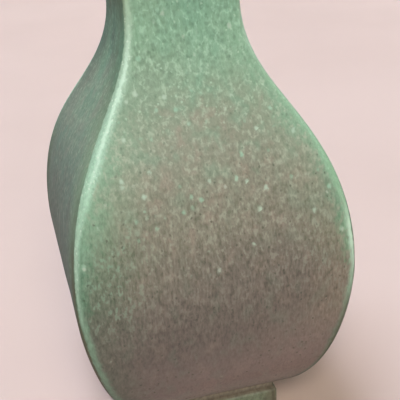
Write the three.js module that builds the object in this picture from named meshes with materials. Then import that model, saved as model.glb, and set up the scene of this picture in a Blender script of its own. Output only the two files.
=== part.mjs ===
// Square baluster vase, built from clay slabs luted together with slip.
// Millimetres, +Z up, origin under the middle of the foot, the front wall faces -Y.
import * as THREE from "three";

// Slab stock
const slip = 0.3;
const wall = 6.5;

// Foot: a plinth with a cove above it
const footHalf = 39.2;
const plinthHeight = 12;
const plinthRound = 1.6;
const coveHeight = 6.4;
const coveDepth = 3.7;
const footWidth = 12.7;

// Body profile, as half widths and heights above the table
const bellyHalf = 75;
const bellyHeight = 105;
const bellyHandleDown = 18.7;
const bellyHandleUp = 81.7;
const undersideHandle = 29.7;
const neckHalf = 29.8;
const neckHeight = 243.5;
const neckHandleDown = 48.7;
const neckHandleUp = 24;
const mouthHalf = 40;
const mouthHeight = 291;
const mouthHandle = 17;
const mouthLean = 0.5;
const cornerRadius = 6.6;

// How far each wall runs in over the foot, and the ledge that carries the floor
const wallSeat = 5.5;

// Lip strip on top of the walls
const lipHeight = 8.7;
const lipOverhang = 2.6;
const lipRound = 3.4;

// Clay coil pressed into each inside corner
const coilLeg = 7;
const coilCrown = 0.8;
const coilInset = 3;

// Steps along each curve
const lowerSteps = 14;
const shoulderSteps = 15;
const flareSteps = 9;
const cornerSteps = 4;
const roundSteps = 3;

// Sizes that follow from the ones above
const seatHeight = plinthHeight + coveHeight + slip;
const seatHalf = footHalf - coveDepth;
const floorHalf = seatHalf - wallSeat;
const mitreShift = slip / Math.SQRT2;
const quarterTurn = Math.PI / 2;

// Materials
function glaze(color) {
  return new THREE.MeshStandardMaterial({ color, roughness: 0.45 });
}
const wallGlaze = glaze(0x8c907a);
const footGlaze = glaze(0x6a6856);
const lipGlaze = glaze(0x8fb092);
const floorGlaze = glaze(0x74786a);
const coilGlaze = glaze(0x7d8574);

// The outside of a wall from the floor's edge to the mouth, as three curves after a flat seat
const seatLine = new THREE.LineCurve(
  new THREE.Vector2(floorHalf, seatHeight),
  new THREE.Vector2(seatHalf, seatHeight),
);
const lowerCurve = new THREE.CubicBezierCurve(
  new THREE.Vector2(seatHalf, seatHeight),
  new THREE.Vector2(seatHalf + undersideHandle, seatHeight),
  new THREE.Vector2(bellyHalf, bellyHeight - bellyHandleDown),
  new THREE.Vector2(bellyHalf, bellyHeight),
);
const shoulderCurve = new THREE.CubicBezierCurve(
  new THREE.Vector2(bellyHalf, bellyHeight),
  new THREE.Vector2(bellyHalf, bellyHeight + bellyHandleUp),
  new THREE.Vector2(neckHalf, neckHeight - neckHandleDown),
  new THREE.Vector2(neckHalf, neckHeight),
);
const flareCurve = new THREE.CubicBezierCurve(
  new THREE.Vector2(neckHalf, neckHeight),
  new THREE.Vector2(neckHalf, neckHeight + neckHandleUp),
  new THREE.Vector2(
    mouthHalf - mouthHandle * Math.sin(mouthLean),
    mouthHeight - mouthHandle * Math.cos(mouthLean),
  ),
  new THREE.Vector2(mouthHalf, mouthHeight),
);

// Points of one curve moved inwards by a depth, with the first one left out when it repeats the curve before
function insetPoints(curve, steps, depth, first) {
  const points = [];
  for (let step = first; step <= steps; step += 1) {
    const t = step / steps;
    const tangent = curve.getTangent(t);
    const point = curve.getPoint(t);
    points.push(new THREE.Vector2(point.x - depth * tangent.y, point.y + depth * tangent.x));
  }
  return points;
}

// The whole profile at a depth below the outside, cut level at the mouth
function profileAt(depth, top) {
  const points = [
    ...insetPoints(seatLine, 1, depth, 0),
    ...insetPoints(lowerCurve, lowerSteps, depth, 1),
    ...insetPoints(shoulderCurve, shoulderSteps, depth, 1),
    ...insetPoints(flareCurve, flareSteps, depth, 1),
  ];
  const kept = points.filter((point) => point.y < top);
  const below = kept[kept.length - 1];
  const above = points[kept.length];
  if (above) {
    const share = (top - below.y) / (above.y - below.y);
    kept.push(below.clone().lerp(above, share));
  }
  return kept;
}

// A closed body through rings of points that all have the same count; the end rings become its caps
function loft(rings, capOutline) {
  const count = rings[0].length;
  const positions = rings.flatMap((ring) => ring.flatMap((point) => point.toArray()));
  const index = [];
  for (let ring = 0; ring < rings.length - 1; ring += 1) {
    for (let i = 0; i < count; i += 1) {
      const a = ring * count + i;
      const b = ring * count + ((i + 1) % count);
      index.push(a, b, b + count);
      index.push(a, b + count, a + count);
    }
  }
  const last = (rings.length - 1) * count;
  for (const [a, b, c] of THREE.ShapeUtils.triangulateShape(capOutline, [])) {
    index.push(a, c, b);
    index.push(last + a, last + b, last + c);
  }
  const geometry = new THREE.BufferGeometry();
  geometry.setAttribute("position", new THREE.Float32BufferAttribute(positions, 3));
  geometry.setIndex(index);
  geometry.computeVertexNormals();
  return geometry;
}

// Where a section point (half width, height) stands at one stop along a side of the square plan.
// A stop's turn runs from 0 at the end of the flat to 1 at the mitre; a round point follows the corner's arc.
function sidePoint(point, stop, round) {
  const radius = (cornerRadius * point.x) / bellyHalf;
  const flat = point.x - radius;
  const angle = (stop.turn * Math.PI) / 4;
  const across = round ? flat + radius * Math.sin(angle) : flat + radius * stop.turn;
  const out = round ? flat + radius * Math.cos(angle) : point.x;
  const cut = stop.turn === 1 ? mitreShift : 0;
  return new THREE.Vector3(stop.side * (across - cut), -out, point.y);
}

// Stops of the rings along one side, from the right mitre to the left, close together at the corners
function sideStops() {
  const stops = [];
  for (let step = cornerSteps; step >= 0; step -= 1) {
    stops.push({ side: 1, turn: step / cornerSteps });
  }
  for (let step = 0; step <= cornerSteps; step += 1) {
    stops.push({ side: -1, turn: step / cornerSteps });
  }
  return stops;
}

// One mitred side of the square, from a section given as outside points and inside points
function mitredSide(outside, inside) {
  const rings = sideStops().map((stop) => [
    ...outside.map((point) => sidePoint(point, stop, true)),
    ...inside.map((point) => sidePoint(point, stop, false)),
  ]);
  return loft(rings, [...outside, ...inside]);
}

// Points of a quarter arc between two corners of a section, seen from its centre
function arcPoints(centreX, centreY, radius, from, to) {
  const clockwise = to < from;
  const curve = new THREE.EllipseCurve(centreX, centreY, radius, radius, from, to, clockwise);
  return curve.getPoints(roundSteps);
}

// Wall slab with half of the rounded corner at each end; its inner end stays square round the floor
function wallGeometry() {
  const [floorEdge, ...outside] = profileAt(0, mouthHeight);
  const inside = profileAt(wall, mouthHeight).reverse();
  return mitredSide(outside, [...inside, floorEdge]);
}

// Foot rail: plinth with a rounded top edge, then a hollow cove up to the body
function footGeometry() {
  const coveTop = plinthHeight + coveHeight;
  const roundX = footHalf - plinthRound;
  const coveRadius = coveDepth - plinthRound;
  const outside = [
    new THREE.Vector2(footHalf, 0),
    ...arcPoints(roundX, plinthHeight - plinthRound, plinthRound, 0, quarterTurn),
    ...arcPoints(roundX, plinthHeight + coveRadius, coveRadius, 3 * quarterTurn, 2 * quarterTurn).slice(1),
    new THREE.Vector2(seatHalf, coveTop),
  ];
  const inside = [
    new THREE.Vector2(footHalf - footWidth, coveTop),
    new THREE.Vector2(footHalf - footWidth, 0),
  ];
  return mitredSide(outside, inside);
}

// Lip strip: a rounded bead that overhangs the mouth of the wall
function lipGeometry() {
  const base = mouthHeight + slip;
  const top = base + lipHeight;
  const innerWall = profileAt(wall, mouthHeight).pop().x;
  const outer = mouthHalf + lipOverhang;
  const outside = [
    new THREE.Vector2(mouthHalf, base),
    ...arcPoints(outer - lipRound, base + lipRound, lipRound, -quarterTurn / 2, 0),
    ...arcPoints(outer - lipRound, top - lipRound, lipRound, 0, quarterTurn),
  ];
  const inside = [
    ...arcPoints(innerWall + lipRound, top - lipRound, lipRound, quarterTurn, 2 * quarterTurn),
    new THREE.Vector2(innerWall, base),
  ];
  return mitredSide(outside, inside);
}

// Floor slab let in between the ends of the four walls
function floorGeometry() {
  const width = 2 * (floorHalf - slip);
  return new THREE.BoxGeometry(width, width, wall);
}

// Coil in the inside corner, following the walls from the steep part of the belly to the mouth
function coilGeometry() {
  const path = profileAt(wall + slip, mouthHeight - coilInset);
  const start = path.findIndex((point, i) => i > 1 && point.y - path[i - 1].y > point.x - path[i - 1].x);
  const middle = coilLeg / 2 - coilCrown;
  const rings = path.slice(start).map((point) => [
    new THREE.Vector3(point.x, -point.x, point.y),
    new THREE.Vector3(point.x, -point.x + coilLeg, point.y),
    new THREE.Vector3(point.x - coilLeg + middle, -point.x + coilLeg - middle, point.y),
    new THREE.Vector3(point.x - coilLeg, -point.x, point.y),
  ]);
  const outline = rings[0].map((point) => new THREE.Vector2(point.x, point.y));
  return loft(rings, outline);
}

// A named mesh turned about the axis by a number of quarter turns
function place(name, geometry, material, turns) {
  const mesh = new THREE.Mesh(geometry, material);
  mesh.name = name;
  mesh.rotation.z = turns * quarterTurn;
  return mesh;
}

const vase = new THREE.Group();
const sides = ["front", "right", "back", "left"];
const corners = ["front_right", "back_right", "back_left", "front_left"];
const wallSlab = wallGeometry();
const footRail = footGeometry();
const lipStrip = lipGeometry();
const cornerCoil = coilGeometry();
sides.forEach((side, turns) => {
  vase.add(place(`${side}_wall`, wallSlab, wallGlaze, turns));
  vase.add(place(`${side}_foot_rail`, footRail, footGlaze, turns));
  vase.add(place(`${side}_lip_strip`, lipStrip, lipGlaze, turns));
  vase.add(place(`${corners[turns]}_coil`, cornerCoil, coilGlaze, turns));
});
const floor = place("floor_slab", floorGeometry(), floorGlaze, 0);
floor.position.z = seatHeight + wall / 2;
vase.add(floor);

export default vase;
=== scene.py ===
"""Square baluster vase under a mottled satin glaze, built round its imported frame.

Lengths are in metres. Colours are screen colours from 0 to 255, and tints are factors on a colour.
"""

import math

import bpy
import numpy as np
from mathutils import Matrix, Vector, noise


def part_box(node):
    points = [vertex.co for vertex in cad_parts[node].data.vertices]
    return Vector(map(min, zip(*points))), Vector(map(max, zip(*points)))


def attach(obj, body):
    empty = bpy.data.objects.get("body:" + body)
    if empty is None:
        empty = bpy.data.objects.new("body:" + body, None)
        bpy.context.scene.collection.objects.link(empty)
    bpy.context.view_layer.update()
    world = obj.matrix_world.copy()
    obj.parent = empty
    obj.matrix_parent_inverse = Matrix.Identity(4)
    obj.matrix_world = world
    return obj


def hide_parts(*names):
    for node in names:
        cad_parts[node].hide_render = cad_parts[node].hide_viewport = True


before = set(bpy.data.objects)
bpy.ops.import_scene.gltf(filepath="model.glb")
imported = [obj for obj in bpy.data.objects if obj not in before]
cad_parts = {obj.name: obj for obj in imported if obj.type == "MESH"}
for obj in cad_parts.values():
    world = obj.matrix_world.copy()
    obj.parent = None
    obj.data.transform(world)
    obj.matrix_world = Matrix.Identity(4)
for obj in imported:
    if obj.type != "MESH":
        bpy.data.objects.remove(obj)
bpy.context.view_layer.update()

# Sizes read from the frame
wall_low, wall_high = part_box("right_wall")
foot_low, foot_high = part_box("right_foot_rail")
lip_low, lip_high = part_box("right_lip_strip")
floor_low, floor_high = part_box("floor_slab")
belly_half = wall_high.x
seat_height = wall_low.z
mouth_height = wall_high.z
foot_half = foot_high.x
foot_inner = foot_low.x
lip_half = lip_high.x
lip_inner = lip_low.x
lip_base = lip_low.z
lip_top = lip_high.z
wall_depth = floor_high.z - floor_low.z

# Body profile
belly_height = 0.105
belly_handle_down = 0.0187
belly_handle_up = 0.0817
underside_handle = 0.0297
seat_inset = 0.0037
neck_half = 0.0298
neck_height = 0.2435
neck_handle_down = 0.0487
neck_handle_up = 0.024
mouth_half = 0.04
mouth_handle = 0.017
mouth_lean = 0.5
corner_radius = 0.0066
seat_half = foot_half - seat_inset
slip = 0.0003

# Foot and lip sections
plinth_height = 0.0106
plinth_round = 0.0016
cove_depth = 0.002
foot_corner_radius = 0.0022
foot_edge = 0.0006
lip_round = 0.0034

# Corner coils, with a hollow whose radius is a share of the leg and whose angles are quarter turns
coil_leg = 0.007
coil_start = 0.04
coil_end = 0.288
coil_taper = 0.03
coil_least_taper = 0.15
hollow_share = 0.62
hollow_from = -0.85
hollow_to = -0.15

# Mesh fineness
lower_steps = 56
shoulder_steps = 64
flare_steps = 30
corner_steps = 10
flat_steps = 26
round_steps = 8
edge_steps = 3
hollow_steps = 6
crease_angle = math.radians(40)

# Hand-made unevenness of the outer faces
wave_height = 0.0003
wave_length = 0.038

# Sizes of the patterns in the glaze and on the table
drift_size = 0.045
cloud_size = 0.012
patch_size = 0.0075
white_speck_size = 0.0075
vein_size = 0.0052
speck_size = 0.0048
streak_size = 0.0042
curd_size = 0.0031
dot_size = 0.0024
fleck_size = 0.0023
# Size of the painted glints on the corner line
line_glint_size = 0.0017
fibre_size = 0.0011
table_cloud_size = 0.3

# How far the levels of the glaze wander, fall towards the right and rise on the side walls, where the
# rise is a painted cool reflection
drift_reach = 0.016
cloud_reach = 0.012
level_fall = -0.15
side_cool_reflection_rise = 0.012

# Satin of the glaze
roughness_low = 0.42
roughness_high = 0.55
coat_weight = 0.2
coat_roughness = 0.34
fleck_relief = 1.4
relief_strength = 0.35
relief_depth = 0.0006

SIDES = ("front", "right", "back", "left")
CORNERS = ("front_right", "back_right", "back_left", "front_left")

# Glaze colours by the height on the vase, which for the body's own colours wanders
BODY_COLORS = [
    (0.015, (154, 128, 119)),
    (0.045, (133, 116, 109)),
    (0.08, (110, 99, 92)),
    (0.11, (119, 110, 100)),
    (0.135, (134, 128, 113)),
    (0.165, (139, 137, 120)),
    (0.19, (141, 146, 126)),
    (0.212, (133, 157, 132)),
    (0.24, (127, 164, 138)),
]
FLUSH_COLORS = [
    (0.05, (137, 115, 106)),
    (0.085, (129, 117, 104)),
]
VEIL_COLORS = [
    (0.03, (104, 102, 90)),
    (0.08, (104, 103, 91)),
    (0.1, (102, 107, 93)),
    (0.125, (107, 126, 104)),
    (0.15, (134, 156, 129)),
    (0.19, (139, 165, 138)),
]
# Painted grey reflection beside the back corners of the side walls
REAR_VEIL_REFLECTION_COLORS = [
    (0.14, (118, 130, 119)),
    (0.17, (124, 140, 129)),
]
BAND_COLORS = [
    (0.06, (104, 108, 92)),
    (0.09, (102, 124, 102)),
    (0.115, (107, 138, 113)),
    (0.14, (126, 162, 135)),
    (0.165, (138, 170, 142)),
    (0.2, (135, 168, 140)),
]
# Painted grey reflection beside the back corners of the side walls
REAR_BAND_REFLECTION_COLORS = [
    (0.14, (120, 136, 123)),
    (0.17, (130, 152, 138)),
]
FLECK_COLORS = [
    (0.06, (130, 119, 109)),
    (0.11, (148, 143, 128)),
    (0.15, (170, 172, 151)),
    (0.185, (178, 186, 163)),
    (0.21, (176, 200, 172)),
    (0.24, (170, 206, 177)),
]
PIT_COLORS = [
    (0.15, (76, 78, 65)),
    (0.23, (92, 126, 101)),
]
STRIP_COLORS = [
    (0.06, (104, 94, 72)),
    (0.1, (106, 102, 78)),
    (0.125, (98, 104, 80)),
    (0.15, (94, 106, 86)),
    (0.18, (100, 134, 112)),
]
# The corner line: partly glaze breaking pale, partly painted highlight
LINE_GLAZE_AND_HIGHLIGHT_COLORS = [
    (0.03, (116, 124, 108)),
    (0.075, (130, 153, 130)),
    (0.1, (138, 164, 140)),
    (0.116, (170, 198, 173)),
    (0.138, (184, 212, 187)),
    (0.155, (172, 206, 178)),
    (0.18, (168, 202, 177)),
    (0.21, (172, 200, 176)),
    (0.25, (168, 192, 163)),
]
FOOT_COLORS = [
    (0.004, (110, 115, 93)),
    (0.0088, (114, 119, 97)),
    (0.01, (120, 122, 102)),
    (0.0107, (118, 108, 91)),
    (0.0118, (114, 102, 86)),
    (0.0142, (148, 137, 119)),
    (0.0185, (142, 132, 115)),
]

# Glaze colours that are the same at every height
MINT_PATCH = (124, 162, 136)
WARM_PATCH = (158, 140, 126)
# Painted reflection: grey clouds on the side walls
SIDE_GREY_REFLECTION = (112, 114, 111)
# Painted sheen: pale upright wisps on the side walls
SIDE_SHEEN_WISP = (146, 158, 145)
# Painted sheen: a pale bloom on the shoulder of the side walls
SIDE_SHEEN_BLOOM = (154, 166, 150)
CORNER_FLECK = (138, 170, 144)
PALE_BEAD = (184, 210, 182)
CREAM_SPECK = (184, 202, 180)
MINT_SPECK = (158, 196, 168)
WHITE_SPECK = (190, 196, 178)
LOW_BROWN = (90, 78, 58)
# Painted highlight: the bright core of the corner line
LINE_PAINTED_HIGHLIGHT = (204, 230, 207)
# Painted glints on the corner line
LINE_PAINTED_GLINT = (218, 234, 214)
# Painted shade under the flare of the side walls
FLARE_PAINTED_SHADE = (90, 88, 65)
FOOT_BROWN = (108, 97, 80)
FOOT_SEAM = (84, 75, 60)
BARE_CLAY = (150, 126, 104)

# Tints of the glaze
# Painted light that lifts the shaded underside
UNDERSIDE_PAINTED_LIGHT = (1.3, 1.5, 1.52)
# Painted shade: the side walls darker and cooler
SIDE_PAINTED_SHADE = (0.75, 0.89, 0.96)
# Painted cool shade low on the side walls
LOW_SIDE_PAINTED_COOL_SHADE = (0.88, 1.0, 1.05)
# Painted shade on the neck of the side walls
SIDE_NECK_PAINTED_SHADE = (0.68, 0.7, 0.74)
LEFT_SHOULDER_TINT = (0.92, 0.86, 0.87)
# Painted light on the right corners around the belly
RIGHT_CORNER_PAINTED_LIGHT = (1.3, 1.26, 1.19)
DARK_FLECK_TINT = (0.6, 0.66, 0.59)
NECK_HEM_TINT = (0.66, 0.8, 0.8)
# Painted rim light on the right corner line at the belly
RIGHT_RIM_PAINTED_LIGHT = (1.4, 1.3, 1.32)
# Painted shade on the right corner line on the shoulder
RIGHT_LINE_PAINTED_SHADE = (0.7, 0.75, 0.66)

# The table as it looks, the light that it sends up, and the world
TABLE_PALE = (200, 172, 155)
TABLE_CLOUD = (196, 168, 151)
TABLE_BOUNCE = (144, 128, 114)
WORLD_COLOR = (192, 222, 230)
world_strength = 0.33


def bezier(points, steps):
    """Points along a cubic curve, with their unit tangents."""
    a, b, c, d = (np.array(p) for p in points)
    t = np.linspace(0, 1, steps + 1)[:, None]
    s = 1 - t
    place = s**3 * a + 3 * s**2 * t * b + 3 * s * t**2 * c + t**3 * d
    along = s**2 * (b - a) + 2 * s * t * (c - b) + t**2 * (d - c)
    return place, along / np.linalg.norm(along, axis=1)[:, None]


def wall_profile(coarser):
    """The outside of a wall as half width and height, from the cove to the mouth, with its tangents."""
    seat = (seat_half, seat_height)
    beside_seat = (seat_half + underside_handle, seat_height)
    under_belly = (belly_half, belly_height - belly_handle_down)
    belly = (belly_half, belly_height)
    over_belly = (belly_half, belly_height + belly_handle_up)
    under_neck = (neck_half, neck_height - neck_handle_down)
    neck = (neck_half, neck_height)
    over_neck = (neck_half, neck_height + neck_handle_up)
    under_mouth = (
        mouth_half - mouth_handle * math.sin(mouth_lean),
        mouth_height - mouth_handle * math.cos(mouth_lean),
    )
    mouth = (mouth_half, mouth_height)
    lower = bezier([seat, beside_seat, under_belly, belly], lower_steps // coarser)
    shoulder = bezier([belly, over_belly, under_neck, neck], shoulder_steps // coarser)
    flare = bezier([neck, over_neck, under_mouth, mouth], flare_steps // coarser)
    places = np.vstack([lower[0], shoulder[0][1:], flare[0][1:]])
    tangents = np.vstack([lower[1], shoulder[1][1:], flare[1][1:]])
    return places, tangents


def inset_profile(depth, top, coarser=1):
    """The wall's profile moved in along its normal and cut level at a height."""
    places, tangents = wall_profile(coarser)
    inward = np.stack([-tangents[:, 1], tangents[:, 0]], axis=1)
    moved = places + depth * inward
    kept = moved[moved[:, 1] < top]
    if len(kept) < len(moved):
        above = moved[len(kept)]
        share = (top - kept[-1, 1]) / (above[1] - kept[-1, 1])
        kept = np.vstack([kept, kept[-1] + share * (above - kept[-1])])
    return kept


def arc(centre_x, centre_z, radius, start, end, steps):
    """Points of a section's rounded edge, from one angle to another in quarter turns."""
    angles = np.linspace(start, end, steps + 1) * math.pi / 2
    return np.stack([centre_x + radius * np.cos(angles), centre_z + radius * np.sin(angles)], axis=1)


def side_stops():
    """Stops along a side from the right mitre to the left: which half, turn and place on the flat."""
    turns = np.linspace(1, 0, corner_steps + 1)
    right = [(1, turn, 1.0) for turn in turns]
    flat = [(1, 0.0, share) for share in np.linspace(1, -1, flat_steps + 1)[1:-1]]
    left = [(-1, turn, 1.0) for turn in turns[::-1]]
    return right + flat + left


def side_point(point, stop, radius, rounded):
    """A section point at one stop: rounded points follow the corner's arc, others a square corner."""
    half, height = point
    side, turn, share = stop
    flat = half - radius
    angle = turn * math.pi / 4
    if not rounded:
        return Vector((side * (flat * share + radius * turn), -half, height))
    across = flat * share + radius * math.sin(angle)
    out = flat + radius * math.cos(angle)
    return Vector((side * across, -out, height))


def quarter_turns(count):
    """The rotation about the vase's axis by a number of quarter turns."""
    return Matrix.Rotation(count * math.pi / 2, 3, "Z")


def face_wave(place):
    """How far an outer face swells or sinks at a place, the same for the two sides that meet there."""
    return wave_height * noise.noise(place / wave_length)


def ring_faces(rings, count):
    """Faces of a closed body through rings of points with the same count, and a cap at each end."""
    faces = []
    for ring in range(rings - 1):
        for i in range(count):
            a = ring * count + i
            b = ring * count + (i + 1) % count
            faces.append((a, b, b + count, a + count))
    last = (rings - 1) * count
    faces.append(tuple(reversed(range(count))))
    faces.append(tuple(range(last, last + count)))
    return faces


def add_mesh(name, verts, faces):
    """An object in the scene with a smooth mesh that is creased at its sharp edges."""
    mesh = bpy.data.meshes.new(name)
    mesh.from_pydata(verts, [], faces)
    mesh.update()
    mesh.shade_smooth()
    mesh.set_sharp_from_angle(angle=crease_angle)
    added = bpy.data.objects.new(name, mesh)
    bpy.context.collection.objects.link(added)
    return added


def swept_side(name, turns, outside, inside, swell, radius_share):
    """One mitred side of the square: a section swept from mitre to mitre, then turned to its place."""
    turn = quarter_turns(turns)
    slopes = np.gradient(outside, axis=0)
    stops = side_stops()
    verts = []
    for stop in stops:
        angle = stop[1] * math.pi / 4
        facing = Vector((stop[0] * math.sin(angle), -math.cos(angle), 0))
        for point, slope in zip(outside, slopes):
            place = turn @ side_point(point, stop, radius_share * point[0], True)
            outward = turn @ (facing * slope[1] - Vector((0, 0, slope[0]))).normalized()
            verts.append(place + swell * face_wave(place) * outward)
        for point in inside:
            verts.append(turn @ side_point(point, stop, radius_share * point[0], False))
    count = len(outside) + len(inside)
    piece = add_mesh(name, verts, ring_faces(len(stops), count))
    join_normals_at_mitres(piece.data, turn, count)
    return piece


def join_normals_at_mitres(mesh, turn, count):
    """Turns the normals of the first and last rings into the mitre planes, so that no seam shows."""
    right = turn @ Vector((1, 1, 0)).normalized()
    left = turn @ Vector((-1, 1, 0)).normalized()
    total = len(mesh.vertices)
    across = dict.fromkeys(range(count), right)
    across.update(dict.fromkeys(range(total - count, total), left))
    normals = [Vector(corner.vector) for corner in mesh.corner_normals]
    for polygon in mesh.polygons:
        is_cap = len(polygon.vertices) == count
        for loop in polygon.loop_indices:
            vertex = mesh.loops[loop].vertex_index
            if vertex in across and not is_cap:
                normal = normals[loop]
                normals[loop] = (normal - normal.dot(across[vertex]) * across[vertex]).normalized()
    mesh.normals_split_custom_set(normals)


def finish_piece(piece, node, material):
    """Makes a piece stand for its node, on the vase's one body."""
    piece.data.materials.append(material)
    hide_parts(node)
    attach(piece, "root")


def make_sides(part, material, outside, inside, swell=0, radius_share=corner_radius / belly_half):
    """The four sides of one part of the vase, from its section."""
    for turns, side in enumerate(SIDES):
        piece = swept_side(f"{side}_{part}_glazed", turns, outside, inside, swell, radius_share)
        finish_piece(piece, f"{side}_{part}", material)


def make_walls(material):
    """Four wall slabs, each with half of the rounded corner at both ends."""
    outside = inset_profile(0, mouth_height + slip)
    inner = inset_profile(wall_depth, mouth_height, coarser=2)
    floor_half = floor_high.x + slip
    floor_end = [(floor_half, inner[0, 1]), (floor_half, seat_height)]
    inside = np.vstack([inner[::-1], floor_end])
    make_sides("wall", material, outside, inside, swell=1)


def make_foot(material):
    """Four foot rails: a plinth with softened edges and a cove above it."""
    round_x = foot_half - plinth_round
    cove_radius = cove_depth - plinth_round
    outside = np.vstack(
        [
            arc(foot_half - foot_edge, foot_edge, foot_edge, -1, 0, edge_steps),
            arc(round_x, plinth_height - plinth_round, plinth_round, 0, 1, round_steps),
            arc(round_x, plinth_height + cove_radius, cove_radius, 3, 2, round_steps)[1:],
            [(foot_half - cove_depth, seat_height)],
        ]
    )
    inside = np.array([(foot_inner, seat_height), (foot_inner, 0)])
    radius_share = foot_corner_radius / foot_half
    make_sides("foot_rail", material, outside, inside, radius_share=radius_share)


def make_lip(material):
    """Four lip strips: a rounded bead over the mouth."""
    outside = np.vstack(
        [
            [(mouth_half, mouth_height)],
            arc(lip_half - lip_round, lip_base + lip_round, lip_round, -0.5, 0, round_steps),
            arc(lip_half - lip_round, lip_top - lip_round, lip_round, 0, 1, round_steps),
        ]
    )
    inside = np.vstack(
        [
            arc(lip_inner + lip_round, lip_top - lip_round, lip_round, 1, 2, round_steps),
            [(lip_inner, mouth_height)],
        ]
    )
    make_sides("lip_strip", material, outside, inside)


def make_coils(material):
    """A smoothed coil of clay in each inside corner, tapered at both ends."""
    path = inset_profile(wall_depth + slip, coil_end)
    path = path[path[:, 1] > coil_start]
    hollow = arc(-coil_leg, coil_leg, coil_leg * hollow_share, hollow_from, hollow_to, hollow_steps)
    section = np.vstack([[(0, 0), (0, coil_leg)], hollow[::-1], [(-coil_leg, 0)]])
    faces = ring_faces(len(path), len(section))
    for turns, corner in enumerate(CORNERS):
        turn = quarter_turns(turns)
        verts = []
        for half, height in path:
            taper = min(height - coil_start, coil_end - height) / coil_taper
            size = math.sqrt(min(1, max(coil_least_taper, taper)))
            verts += [turn @ Vector((half + size * x, -half + size * y, height)) for x, y in section]
        piece = add_mesh(f"{corner}_coil_smoothed", verts, faces)
        finish_piece(piece, f"{corner}_coil", material)


def linear(color):
    """A screen colour as the linear colour that a shader takes."""
    parts = [c / 255 for c in color]
    return [c / 12.92 if c <= 0.04045 else ((c + 0.055) / 1.055) ** 2.4 for c in parts] + [1]


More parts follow.
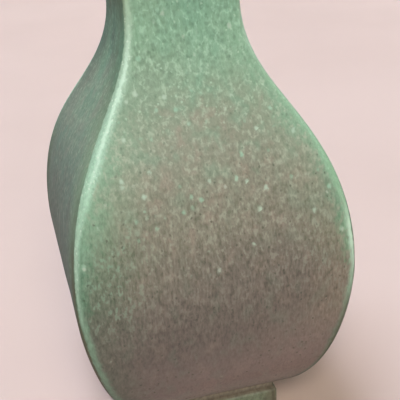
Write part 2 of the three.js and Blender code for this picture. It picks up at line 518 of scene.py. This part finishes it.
class Shader:
    """Short names for the nodes of one material."""

    # Places of the colour sockets on a Mix node
    mix_factor = 0
    mix_first = 6
    mix_second = 7
    mix_result = 2

    def __init__(self, name):
        self.material = bpy.data.materials.new(name)
        self.material.use_nodes = True
        self.tree = self.material.node_tree
        self.surface = self.tree.nodes["Principled BSDF"].inputs

    def put(self, socket, value):
        """Links a socket to another, or sets it to a fixed value."""
        if isinstance(value, bpy.types.NodeSocket):
            self.tree.links.new(value, socket)
        else:
            socket.default_value = value

    def put_all(self, node, values):
        """Puts values on the first sockets of a node."""
        for socket, value in zip(node.inputs, values):
            self.put(socket, value)

    def math(self, operation, *values):
        """One step of arithmetic."""
        node = self.tree.nodes.new("ShaderNodeMath")
        node.operation = operation
        self.put_all(node, values)
        return node.outputs[0]

    def vector(self, operation, *values):
        """One step of arithmetic on vectors."""
        node = self.tree.nodes.new("ShaderNodeVectorMath")
        node.operation = operation
        self.put_all(node, values)
        return node.outputs[0]

    def total(self, first, *others):
        """Values added up."""
        for other in others:
            first = self.math("ADD", first, other)
        return first

    def product(self, first, *others):
        """Values multiplied with each other."""
        for other in others:
            first = self.math("MULTIPLY", first, other)
        return first

    def away(self, value, middle):
        """How far a value is from a middle one."""
        return self.math("ABSOLUTE", self.math("SUBTRACT", value, middle))

    def swing(self, value, reach):
        """A value from 0 to 1 turned into one that swings by the reach to both sides of nothing."""
        return self.math("MULTIPLY_ADD", value, 2 * reach, -reach)

    def step(self, value, start, end, before=0.0, after=1.0):
        """Goes smoothly from before to after while a value goes from start to end, up or down."""
        node = self.tree.nodes.new("ShaderNodeMapRange")
        node.interpolation_type = "SMOOTHSTEP"
        self.put_all(node, (value, start, end, before, after))
        return node.outputs[0]

    def within(self, value, start, full, fading, end):
        """1 where a value lies between full and fading, and 0 before start and after end."""
        return self.product(self.step(value, start, full), self.step(value, end, fading))

    def either(self, mask, off, on):
        """One value where a mask is 0, another where it is 1."""
        return self.step(mask, 0.0, 1.0, off, on)

    def mix(self, factor, a, b, blend="MIX"):
        """One colour laid over another."""
        node = self.tree.nodes.new("ShaderNodeMix")
        node.data_type = "RGBA"
        node.blend_type = blend
        self.put(node.inputs[self.mix_factor], factor)
        self.put(node.inputs[self.mix_first], a)
        self.put(node.inputs[self.mix_second], b)
        return node.outputs[self.mix_result]

    def paint(self, mask, color, paint):
        """A fixed screen colour laid over a colour."""
        return self.mix(mask, color, linear(paint))

    def tint(self, mask, color, tint):
        """A colour multiplied by a tint where the mask lets it."""
        return self.mix(mask, color, (*tint, 1), "MULTIPLY")

    def scale(self, color, factor):
        """A colour multiplied by a factor all over."""
        return self.mix(1.0, color, factor, "MULTIPLY")

    def place(self, height_share=1.0, wobble=0.0):
        """Places on the object, shaken by about the wobble, with a share of their height."""
        place = self.tree.nodes.new("ShaderNodeTexCoord").outputs["Object"]
        if wobble:
            reach = 2 * wobble
            shake = self.tree.nodes.new("ShaderNodeTexNoise")
            self.put(shake.inputs["Vector"], place)
            shake.inputs["Scale"].default_value = 1 / reach
            place = self.vector("MULTIPLY_ADD", shake.outputs["Color"], (reach, reach, reach), place)
        return self.vector("MULTIPLY", place, (1, 1, height_share))

    def noise(self, size, height_share=1.0, detail=2.0, roughness=0.5):
        """Soft noise, drawn out upwards where the share of height is small."""
        node = self.tree.nodes.new("ShaderNodeTexNoise")
        self.put(node.inputs["Vector"], self.place(height_share))
        node.inputs["Scale"].default_value = 1 / size
        node.inputs["Detail"].default_value = detail
        node.inputs["Roughness"].default_value = roughness
        return node.outputs[0]

    def cells(self, size, height_share=1.0, wobble=0.0):
        """Scattered spots: the distance from the nearest one, and a number by chance for each."""
        node = self.tree.nodes.new("ShaderNodeTexVoronoi")
        self.put(node.inputs["Vector"], self.place(height_share, wobble))
        node.inputs["Scale"].default_value = 1 / size
        chance = self.tree.nodes.new("ShaderNodeSeparateColor")
        self.put(chance.inputs[0], node.outputs["Color"])
        return node.outputs["Distance"], chance.outputs[0]

    def ramp(self, value, stops):
        """Colours that follow a value from stop to stop."""
        node = self.tree.nodes.new("ShaderNodeValToRGB")
        low = stops[0][0]
        span = stops[-1][0] - low
        elements = node.color_ramp.elements
        while len(elements) < len(stops):
            elements.new(0.5)
        for element, (position, color) in zip(elements, stops):
            element.position = (position - low) / span
            element.color = linear(color)
        share = self.math("DIVIDE", self.math("SUBTRACT", value, low), span)
        self.put(node.inputs[0], share)
        return node.outputs[0]

    def bump(self, height, strength, distance):
        """Normals of a fine relief."""
        node = self.tree.nodes.new("ShaderNodeBump")
        node.inputs["Strength"].default_value = strength
        node.inputs["Distance"].default_value = distance
        self.put(node.inputs["Height"], height)
        return node.outputs[0]


def body_color(shader, height, across, drift, clouds, sideways):
    """Mint green at the neck, then grey green, taupe and brown, with mint and warm patches; painted light
    on the underside.
    """
    level = shader.total(height, shader.swing(drift, drift_reach), shader.swing(clouds, cloud_reach))
    # The rise on the side walls is a painted cool reflection
    level = shader.total(level, shader.product(across, level_fall), shader.product(sideways, side_cool_reflection_rise))
    color = shader.ramp(level, BODY_COLORS)
    flush = shader.product(shader.step(across, -0.03, 0.06), shader.step(level, 0.14, 0.05, 0.0, 0.65))
    color = shader.mix(flush, color, shader.ramp(height, FLUSH_COLORS))
    patches = shader.noise(patch_size, 0.6)
    mint = shader.product(shader.step(patches, 0.5, 0.72), shader.step(height, 0.13, 0.2, 0.08, 0.4))
    color = shader.paint(mint, color, MINT_PATCH)
    warm = shader.product(shader.step(patches, 0.46, 0.3), shader.step(height, 0.1, 0.14, 0.15, 0.4))
    warm = shader.product(warm, shader.step(height, 0.215, 0.19))
    color = shader.paint(warm, color, WARM_PATCH)
    # Painted light: the underside is brightened against its shade
    return shader.tint(shader.step(height, 0.043, 0.024), color, UNDERSIDE_PAINTED_LIGHT)


def side_shade_and_sheen(shader, color, height, clouds, sideways):
    """Painted light on the side walls: painted shade that makes them darker and cooler and darkens their
    neck, a painted grey reflection in clouds, and painted sheen in upright wisps and a pale bloom on the
    shoulder.
    """
    # Painted shade makes the side walls darker and cooler
    color = shader.tint(sideways, color, SIDE_PAINTED_SHADE)
    # Painted cool shade low on the side walls
    low = shader.product(sideways, shader.step(height, 0.2, 0.15))
    color = shader.tint(low, color, LOW_SIDE_PAINTED_COOL_SHADE)
    # Painted grey reflection in clouds on the side walls
    grey = shader.product(sideways, shader.step(clouds, 0.48, 0.66, 0.0, 0.45))
    color = shader.paint(grey, color, SIDE_GREY_REFLECTION)
    # Painted sheen in pale upright wisps on the side walls
    streaks = shader.noise(streak_size, 0.14, detail=3.0, roughness=0.6)
    wisp = shader.product(shader.step(streaks, 0.54, 0.72, 0.0, 0.55), sideways)
    wisp = shader.product(wisp, shader.step(height, 0.06, 0.13, 0.2, 1.0))
    color = shader.paint(wisp, color, SIDE_SHEEN_WISP)
    # Painted sheen: a pale bloom on the shoulder of the side walls
    bloom = shader.within(height, 0.16, 0.19, 0.2, 0.226)
    bloom = shader.product(bloom, shader.step(clouds, 0.35, 0.65, 0.12, 0.5), sideways)
    color = shader.paint(bloom, color, SIDE_SHEEN_BLOOM)
    # Painted shade darkens the neck of the side walls
    neck = shader.product(sideways, shader.step(height, 0.208, 0.236))
    return shader.tint(neck, color, SIDE_NECK_PAINTED_SHADE)


def corner_band(shader, color, height, corner, rightward, rearward, clouds, flecks):
    """Green beside the corners: wide with a cloudy border on the shoulder, narrow from the belly down,
    and painted light on the right corners around the belly.
    """
    border = shader.total(corner, shader.swing(clouds, 0.009), shader.swing(flecks, 0.008))
    front_veil = shader.ramp(height, VEIL_COLORS)
    # Greyer on the rear half of the side walls: painted reflection
    veil_color = shader.mix(rearward, front_veil, shader.ramp(height, REAR_VEIL_REFLECTION_COLORS))
    veil = shader.step(border, shader.step(height, 0.06, 0.12, 0.026, 0.04), 0.002)
    right_veil = shader.step(height, 0.1, 0.15, 0.1, 0.35)
    veil = shader.product(veil, shader.either(rightward, 0.8, right_veil))
    color = shader.mix(veil, color, veil_color)

    front_band = shader.ramp(height, BAND_COLORS)
    # Greyer on the rear half of the side walls: painted reflection
    band_color = shader.mix(rearward, front_band, shader.ramp(height, REAR_BAND_REFLECTION_COLORS))
    band = shader.step(border, shader.step(height, 0.08, 0.16, 0.004, 0.016), 0.0)
    band = shader.product(band, shader.step(height, 0.06, 0.12, 0.3, 0.8))
    color = shader.mix(band, color, band_color)

    calm = shader.within(height, 0.175, 0.2, 0.215, 0.232)
    calm = shader.product(calm, shader.step(corner, 0.042, 0.014), shader.either(rightward, 1.0, 0.0))
    color = shader.tint(calm, color, LEFT_SHOULDER_TINT)
    # Painted light brightens the right corners around the belly
    right_painted_light = shader.within(height, 0.06, 0.09, 0.12, 0.15)
    right_painted_light = shader.product(right_painted_light, shader.step(corner, 0.036, 0.006), rightward)
    return shader.tint(right_painted_light, color, RIGHT_CORNER_PAINTED_LIGHT)


def fine_fibres(shader, color, height, fibres):
    """Fine upright fibres, strongest on the belly."""
    depth = shader.step(height, 0.07, 0.2, 0.7, 0.25)
    depth = shader.product(depth, shader.step(height, 0.04, 0.12, 0.3, 1.0))
    return shader.scale(color, shader.math("MULTIPLY_ADD", shader.swing(fibres, 1.0), depth, 1.0))


def mottle(shader, color, height, corner, rightward, plain, flecks):
    """Soft pale and dark flecks, greener beside the left corners, and pale veins on the shoulder."""
    pale = shader.ramp(height, FLECK_COLORS)
    beside = shader.product(shader.step(corner, 0.045, 0.015), shader.step(height, 0.17, 0.14))
    beside = shader.product(beside, shader.step(height, 0.075, 0.12, 0.2, 1.0))
    beside = shader.product(beside, shader.either(rightward, 1.0, 0.2))
    pale = shader.paint(beside, pale, CORNER_FLECK)
    strength = shader.product(plain, shader.step(height, 0.14, 0.19, 0.95, 0.42))
    strength = shader.product(strength, shader.step(height, 0.06, 0.13, 0.2, 0.6))
    light = shader.product(shader.step(flecks, 0.52, 0.68), strength)
    color = shader.mix(light, color, pale)
    dark = shader.product(shader.step(flecks, 0.48, 0.32), strength)
    color = shader.tint(dark, color, DARK_FLECK_TINT)

    winding = shader.noise(vein_size, 0.65)
    vein = shader.step(shader.away(winding, 0.5), 0.06, 0.01)
    vein = shader.product(vein, shader.step(flecks, 0.42, 0.6), plain)
    vein = shader.product(vein, shader.step(height, 0.13, 0.18, 0.0, 0.38))
    return shader.mix(vein, color, pale)


def curds_and_dots(shader, color, height, plain):
    """Curds in the thick glaze of the neck, dark pits all over, and pale beads from the shoulder up."""
    near = shader.cells(curd_size, 0.8, wobble=0.0012)[0]
    curd = shader.product(shader.step(near, 0.1, 0.6, -0.1, 0.14), shader.step(height, 0.19, 0.23))
    color = shader.scale(color, shader.math("MULTIPLY_ADD", curd, plain, 1.0))
    near, chance = shader.cells(dot_size, 0.75, wobble=0.0006)
    dot = shader.product(shader.step(near, 0.32, 0.12), plain)
    pit = shader.product(shader.step(chance, 0.6, 0.92), shader.step(height, 0.15, 0.2, 0.6, 0.4))
    color = shader.mix(shader.product(dot, pit), color, shader.ramp(height, PIT_COLORS))
    bead = shader.product(shader.step(chance, 0.3, 0.1), shader.step(height, 0.17, 0.21, 0.0, 0.55))
    return shader.paint(shader.product(dot, bead), color, PALE_BEAD)


def glints(shader, color, height, sideways):
    """A few cream and mint specks and some small white ones, scarce towards the foot."""
    plain = shader.either(sideways, 0.8, 0.3)
    near, chance = shader.cells(speck_size, 0.8, wobble=0.001)
    rarity = shader.step(height, 0.09, 0.17, 1.0, 0.55)
    reach = shader.step(chance, 0.55, 1.0, 0.22, 0.38)
    speck = shader.product(shader.step(near, reach, 0.08), shader.step(chance, rarity, 1.0), plain)
    mint = shader.within(chance, 0.66, 0.7, 0.88, 0.92)
    color = shader.mix(speck, color, shader.paint(mint, linear(CREAM_SPECK), MINT_SPECK))
    near, chance = shader.cells(white_speck_size, 0.8, wobble=0.0008)
    white = shader.product(shader.step(near, 0.17, 0.06), shader.step(chance, 0.8, 1.0))
    white = shader.product(white, shader.step(height, 0.035, 0.08, 0.0, 0.75), plain)
    return shader.paint(white, color, WHITE_SPECK)


def line_color(shader, height, rightward, fibres):
    """The pale green of the corner line, partly pale glaze and partly painted highlight. On the right it
    is brighter at the belly with painted rim light, and fainter on the shoulder with painted shade.
    """
    pale = shader.ramp(height, LINE_GLAZE_AND_HIGHLIGHT_COLORS)
    # Painted rim light on the right corners at the belly
    rim = shader.product(shader.within(height, 0.07, 0.085, 0.125, 0.145), rightward)
    pale = shader.tint(rim, pale, RIGHT_RIM_PAINTED_LIGHT)
    # Painted shade on the right corners on the shoulder
    faint = shader.product(shader.within(height, 0.125, 0.145, 0.205, 0.225), rightward)
    pale = shader.tint(faint, pale, RIGHT_LINE_PAINTED_SHADE)
    return shader.scale(pale, shader.total(shader.swing(fibres, 0.35), 1.0))


def beside_line(shader, color, height, place, rear_end, clouds):
    """Thin glaze on the side walls beside the corner line: an olive strip below, a dark hem above."""
    beyond = shader.step(place, shader.total(rear_end, 0.002), rear_end)
    strip = shader.step(place, shader.total(rear_end, -0.015), shader.total(rear_end, -0.006))
    strip = shader.product(strip, beyond, shader.step(height, 0.19, 0.13, 0.0, 0.85))
    strip = shader.product(strip, shader.step(clouds, 0.35, 0.6, 0.45, 1.0))
    color = shader.mix(strip, color, shader.ramp(height, STRIP_COLORS))
    hem = shader.step(place, shader.total(rear_end, -0.024), shader.total(rear_end, -0.003))
    hem = shader.product(hem, beyond, shader.within(height, 0.19, 0.222, 0.25, 0.285))
    return shader.tint(hem, color, NECK_HEM_TINT)


def corner_line(shader, color, height, edge, rightward, clouds, flecks, fibres):
    """Glaze that breaks pale over the corners, partly painted highlight, with a painted highlight core
    and painted glints, strongest on the left corners, and brown low on the right.
    """
    place = shader.total(edge, shader.swing(flecks, 0.0018), shader.swing(clouds, 0.0012))
    shift = shader.product(rightward, shader.step(height, 0.15, 0.19, -0.0008, 0.002))
    lean = shader.within(height, 0.09, 0.12, 0.14, 0.175)
    lean = shader.product(lean, shader.either(rightward, 0.0032, 0.0))
    place = shader.total(place, shift, lean)
    rear_end = shader.step(height, 0.12, 0.18, -0.0016, -0.0064)
    rear_end = shader.total(rear_end, shader.step(height, 0.19, 0.225, 0.0, 0.0036))
    rear = shader.step(place, rear_end, shader.total(rear_end, 0.002))
    front_end = shader.step(height, 0.135, 0.172, 0.0054, 0.007)
    front_end = shader.total(front_end, shader.step(height, 0.2, 0.235, 0.0, -0.0014))
    front_end = shader.total(front_end, shader.step(height, 0.118, 0.085, 0.0, 0.0016))
    front = shader.step(place, front_end, shader.total(front_end, -0.0046))
    color = beside_line(shader, color, height, place, rear_end, clouds)
    line = shader.product(front, rear, 0.9)
    color = shader.mix(line, color, line_color(shader, height, rightward, fibres))

    brown = shader.product(shader.step(place, 0.0066, 0.0012, 0.0, 0.75), rear)
    brown = shader.product(brown, shader.within(height, 0.032, 0.045, 0.078, 0.1), rightward)
    color = shader.paint(brown, color, LOW_BROWN)
    leftward = shader.either(rightward, 1.0, 0.2)
    # Painted highlight: a bright core along the corners, mostly the left ones
    core = shader.step(shader.away(place, 0.0016), 0.0022, 0.0004)
    core = shader.product(core, shader.step(height, 0.155, 0.19), leftward)
    core = shader.product(core, shader.step(height, 0.252, 0.212, 0.1, 0.85))
    color = shader.paint(core, color, LINE_PAINTED_HIGHLIGHT)
    # Painted glints along the line, mostly on the left corners
    near, chance = shader.cells(line_glint_size, wobble=0.0006)
    grain = shader.product(shader.step(near, 0.42, 0.2), shader.step(chance, 0.5, 0.9, 0.0, 0.8))
    grain = shader.product(grain, line, shader.step(height, 0.1, 0.13), leftward)
    return shader.paint(grain, color, LINE_PAINTED_GLINT)


def flare_shade(shader, color, height, sideways, clouds):
    """Painted olive shade under the flare of the side walls, weaker towards the lip."""
    rise = shader.total(height, shader.swing(clouds, 0.014))
    shade = shader.product(shader.step(rise, 0.23, 0.262, 0.0, 0.6), sideways)
    shade = shader.product(shade, shader.step(height, 0.256, 0.285, 1.0, 0.5))
    return shader.paint(shade, color, FLARE_PAINTED_SHADE)


def vase_color(shader, across, depth, height, edge, corner, clouds, flecks, fibres):
    """All layers of the glaze above the foot, one over the other."""
    # Masks for the side walls up to the lip, the right half, and the rear half of the side walls
    sideways = shader.product(shader.step(edge, 0.002, -0.002), shader.step(height, 0.292, 0.262))
    rightward = shader.step(across, -0.01, 0.01)
    rearward = shader.product(sideways, shader.step(depth, 0.0, 0.03))
    # Patterns are weaker on the side walls
    plain = shader.math("MULTIPLY_ADD", sideways, -0.35, 1.0)
    drift = shader.noise(drift_size)
    color = body_color(shader, height, across, drift, clouds, sideways)
    color = side_shade_and_sheen(shader, color, height, clouds, sideways)
    color = corner_band(shader, color, height, corner, rightward, rearward, clouds, flecks)
    color = fine_fibres(shader, color, height, fibres)
    color = mottle(shader, color, height, corner, rightward, plain, flecks)
    color = curds_and_dots(shader, color, height, plain)
    color = glints(shader, color, height, sideways)
    color = corner_line(shader, color, height, edge, rightward, clouds, flecks, fibres)
    return flare_shade(shader, color, height, sideways, clouds)


def foot_color(shader, height, corner, clouds, flecks):
    """Green plinth with a paler edge, brown in the cove and at the corners, bare at the bottom."""
    color = shader.ramp(height, FOOT_COLORS)
    color = shader.scale(color, shader.total(shader.swing(flecks, 0.6), 1.0))
    low = shader.step(height, 0.013, 0.0105, 0.15, 1.0)
    beside = shader.total(corner, shader.swing(flecks, 0.003))
    brown = shader.product(shader.step(beside, 0.012, 0.002, 0.0, 0.65), low)
    color = shader.paint(brown, color, FOOT_BROWN)
    seam = shader.step(shader.away(corner, 0.0026), 0.0016, 0.0004, 0.0, 0.5)
    color = shader.paint(shader.product(seam, low), color, FOOT_SEAM)
    bare = shader.step(shader.math("MULTIPLY_ADD", clouds, 0.0016, height), 0.0026, 0.002)
    return shader.paint(bare, color, BARE_CLAY)


def glaze_material(name, foot=False):
    """Mottled satin glaze, coloured by the height on the vase and by how near its corners are."""
    shader = Shader(name)
    axes = shader.tree.nodes.new("ShaderNodeSeparateXYZ")
    shader.put(axes.inputs[0], shader.place())
    across, depth, height = axes.outputs
    edge = shader.math("SUBTRACT", shader.math("ABSOLUTE", depth), shader.math("ABSOLUTE", across))
    corner = shader.math("ABSOLUTE", edge)
    clouds = shader.noise(cloud_size, 0.7, detail=3.0)
    flecks = shader.noise(fleck_size, 0.6, roughness=0.6)
    fibres = shader.noise(fibre_size, 0.28, roughness=0.6)
    if foot:
        color = foot_color(shader, height, corner, clouds, flecks)
    else:
        color = vase_color(shader, across, depth, height, edge, corner, clouds, flecks, fibres)
    roughness = shader.step(fibres, 0.25, 0.75, roughness_high, roughness_low)
    relief = shader.math("MULTIPLY_ADD", flecks, fleck_relief, fibres)
    shader.put(shader.surface["Base Color"], color)
    shader.put(shader.surface["Roughness"], roughness)
    shader.put(shader.surface["Normal"], shader.bump(relief, relief_strength, relief_depth))
    shader.surface["Specular IOR Level"].default_value = 0.0
    shader.surface["Coat Weight"].default_value = coat_weight
    shader.surface["Coat Roughness"].default_value = coat_roughness
    return shader.material


def floor_material():
    """Plain pale table, faintly uneven, and less pale in the light that it sends up than it looks."""
    shader = Shader("pale_table")
    paths = shader.tree.nodes.new("ShaderNodeLightPath").outputs
    seen = shader.math("MAXIMUM", paths["Is Camera Ray"], paths["Is Glossy Ray"])
    seen = shader.math("MAXIMUM", seen, paths["Is Transmission Ray"])
    cloud = shader.step(shader.noise(table_cloud_size, detail=3.0), 0.3, 0.7)
    pale = shader.paint(cloud, linear(TABLE_PALE), TABLE_CLOUD)
    shader.put(shader.surface["Base Color"], shader.mix(seen, linear(TABLE_BOUNCE), pale))
    shader.surface["Roughness"].default_value = 0.7
    shader.surface["Specular IOR Level"].default_value = 0.2
    return shader.material


def make_floor():
    """The pale table, rising into a backdrop all round."""
    flat_reach = 2.8
    bend = 1.2
    bend_steps = 12
    steps = 96
    bend_angles = np.linspace(0, math.pi / 2, bend_steps + 1)
    profile = [(flat_reach + bend * math.sin(a), bend - bend * math.cos(a)) for a in bend_angles]
    verts = [Vector((0, 0, 0))]
    for step in range(steps):
        angle = 2 * math.pi * step / steps
        verts += [Vector((r * math.cos(angle), r * math.sin(angle), z)) for r, z in profile]
    count = len(profile)
    faces = []
    for step in range(steps):
        a = 1 + step * count
        b = 1 + (step + 1) % steps * count
        faces.append((0, a, b))
        faces += [(a + i, a + i + 1, b + i + 1, b + i) for i in range(count - 1)]
    table = add_mesh("table", verts, faces)
    table.data.materials.append(floor_material())
    return table


def make_camera():
    """The photograph's camera: its place, the point that it looks at, and its roll."""
    place = Vector((-0.0946, -0.4368, 0.3261))
    aim = Vector((0.0087, 0.0, 0.125))
    roll = math.radians(-4.0)
    focal_pixels = 841.9
    frame_pixels = 400
    data = bpy.data.cameras.new("camera")
    data.sensor_width = 36
    data.lens = focal_pixels / frame_pixels * data.sensor_width
    camera = bpy.data.objects.new("camera", data)
    camera.rotation_mode = "QUATERNION"
    turn = (aim - place).to_track_quat("-Z", "Y").to_matrix() @ Matrix.Rotation(roll, 3, "Z")
    camera.location = place
    camera.rotation_quaternion = turn.to_quaternion()
    bpy.context.collection.objects.link(camera)
    bpy.context.scene.camera = camera


def make_sun(name, azimuth, elevation, strength, spread, color=(1.0, 1.0, 1.0)):
    """A distant soft lamp. Azimuth 0 shines on the front face, -90 on the left one."""
    data = bpy.data.lights.new(name, "SUN")
    data.energy = strength
    data.angle = math.radians(spread)
    data.color = color
    lamp = bpy.data.objects.new(name, data)
    a = math.radians(azimuth)
    e = math.radians(elevation)
    away = Vector((math.sin(a) * math.cos(e), -math.cos(a) * math.cos(e), math.sin(e)))
    lamp.rotation_mode = "QUATERNION"
    lamp.rotation_quaternion = (-away).to_track_quat("-Z", "Y")
    bpy.context.collection.objects.link(lamp)
    return lamp


def share_light(lamp, table, on_table):
    """Lets a lamp shine on the table alone, or on all but the table."""
    receivers = bpy.data.collections.new(f"{lamp.name}_receivers")
    receivers.objects.link(table)
    receivers.collection_objects[0].light_linking.link_state = "INCLUDE" if on_table else "EXCLUDE"
    lamp.light_linking.receiver_collection = receivers


def make_lights(table):
    """A broad key from the front, weak fills behind and on the right, and the table's own lamp."""
    make_sun("key", azimuth=-7, elevation=42, strength=2.6, spread=30, color=(1.0, 0.98, 0.95))
    far_side = make_sun("far_side", azimuth=-172, elevation=58, strength=1.7, spread=50)
    right_fill = make_sun("right_fill", azimuth=88, elevation=25, strength=0.8, spread=60)
    cool = (0.59, 0.72, 1.0)
    table_light = make_sun("table_light", azimuth=-80, elevation=78, strength=3.7, spread=26, color=cool)
    share_light(far_side, table, on_table=False)
    share_light(right_fill, table, on_table=False)
    share_light(table_light, table, on_table=True)


def make_world():
    """A plain pale world that fills the shadows."""
    world = bpy.data.worlds.new("world")
    bpy.context.scene.world = world
    world.use_nodes = True
    background = world.node_tree.nodes["Background"]
    background.inputs["Color"].default_value = linear(WORLD_COLOR)
    background.inputs["Strength"].default_value = world_strength


def main():
    """The stage, then the pieces of the vase. The floor slab keeps its solid and gets the glaze."""
    bpy.context.scene.view_settings.view_transform = "Standard"
    make_camera()
    make_lights(make_floor())
    make_world()
    glaze = glaze_material("satin_glaze")
    make_walls(glaze)
    make_lip(glaze)
    make_coils(glaze)
    make_foot(glaze_material("foot_glaze", foot=True))
    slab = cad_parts["floor_slab"]
    slab.data.materials.clear()
    slab.data.materials.append(glaze)


main()
